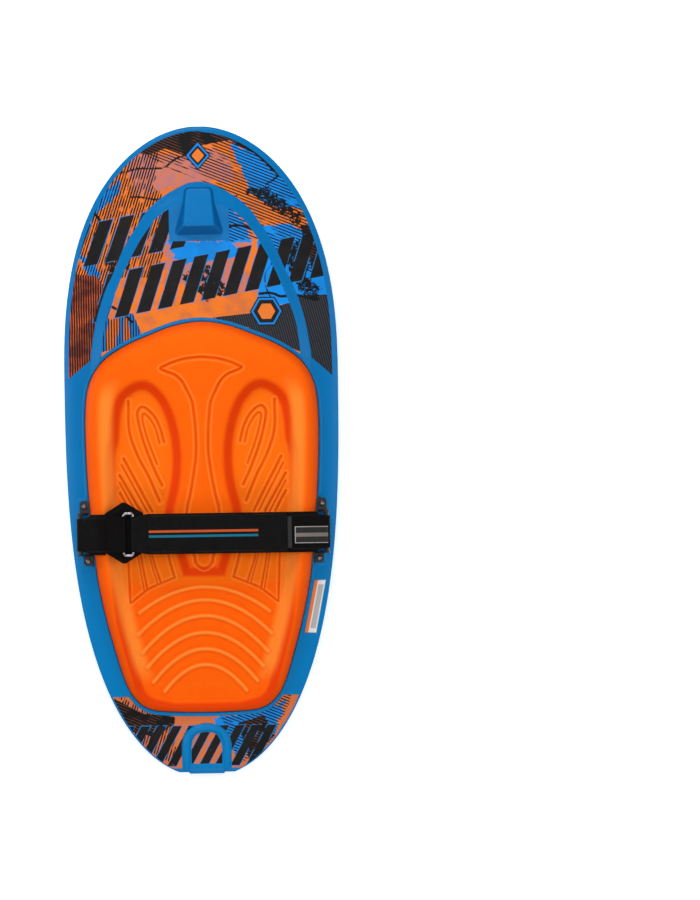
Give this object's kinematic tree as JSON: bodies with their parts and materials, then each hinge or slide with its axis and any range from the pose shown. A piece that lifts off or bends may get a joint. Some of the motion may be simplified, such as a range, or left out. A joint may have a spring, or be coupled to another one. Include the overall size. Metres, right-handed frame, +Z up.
{
  "type": "kneeboard",
  "caption": "Towed kneeboard with a moulded hull, contoured kneeling pad, printed deck films and an adjustable padded thigh strap closed through a steel ring.",
  "frame": {"origin": "on the centre line at mid length, at the level of the flat of the underside", "axes": "+X to the rider's right seen from the deck, +Y to the nose, +Z up out of the deck"},
  "size_m": [0.5208, 1.23, 0.1048],
  "materials": {
    "shell_blue": "gloss",
    "core_foam": "matte",
    "pad_orange": "satin",
    "film_nose": "gloss",
    "film_fore": "gloss",
    "film_tail": "gloss",
    "label_white": "satin",
    "plug_black": "matte",
    "insert_brass": "satin",
    "bracket_black": "satin",
    "screw_steel": "satin",
    "washer_steel": "satin",
    "webbing_black": "matte",
    "neoprene_black": "matte",
    "ring_steel": "polished",
    "loop_black": "matte",
    "hook_black": "matte",
    "label_strap": "matte"
  },
  "bodies": {
    "board": {"hull_shell": "shell_blue", "foam_core": "core_foam", "knee_pad": "pad_orange", "nose_graphic": "film_nose", "foredeck_graphic": "film_fore", "tail_graphic": "film_tail", "rim_label": "label_white", "fill_plug": "plug_black", "threaded_inserts": "insert_brass", "strap_bracket_left": "bracket_black", "strap_bracket_right": "bracket_black", "bracket_screws_left": "screw_steel", "bracket_screws_right": "screw_steel", "bracket_washers": "washer_steel"},
    "left_strap": {"left_strap_webbing": "webbing_black", "left_strap_pad": "neoprene_black", "ring_guard": "neoprene_black"},
    "ring": {"buckle_ring": "ring_steel"},
    "main_strap": {"main_strap_webbing": "webbing_black", "main_strap_pad": "neoprene_black", "loop_fastener": "loop_black", "strap_label": "label_strap", "strap_fold": "webbing_black"},
    "tail": {"strap_tail": "webbing_black", "hook_fastener": "hook_black"}
  },
  "joints": [
    {"name": "left_strap_swing", "type": "hinge", "parent": "board", "child": "left_strap", "pos_m": [-0.234, -0.1585, 0.063], "axis": [0, -1, 0], "range_deg": [0, 140]},
    {"name": "ring_tilt", "type": "hinge", "parent": "left_strap", "child": "ring", "pos_m": [-0.152, -0.1585, 0.1], "axis": [0, -1, 0], "range_deg": [0, 35]},
    {"name": "main_strap_swing", "type": "hinge", "parent": "board", "child": "main_strap", "pos_m": [0.234, -0.1585, 0.063], "axis": [0, 1, 0], "range_deg": [0, 130], "deforming": ["strap_fold"]},
    {"name": "tail_peel", "type": "hinge", "parent": "main_strap", "child": "tail", "pos_m": [-0.1091, -0.1585, 0.1009], "axis": [0, -1, 0], "range_deg": [0, 135]}
  ]
}
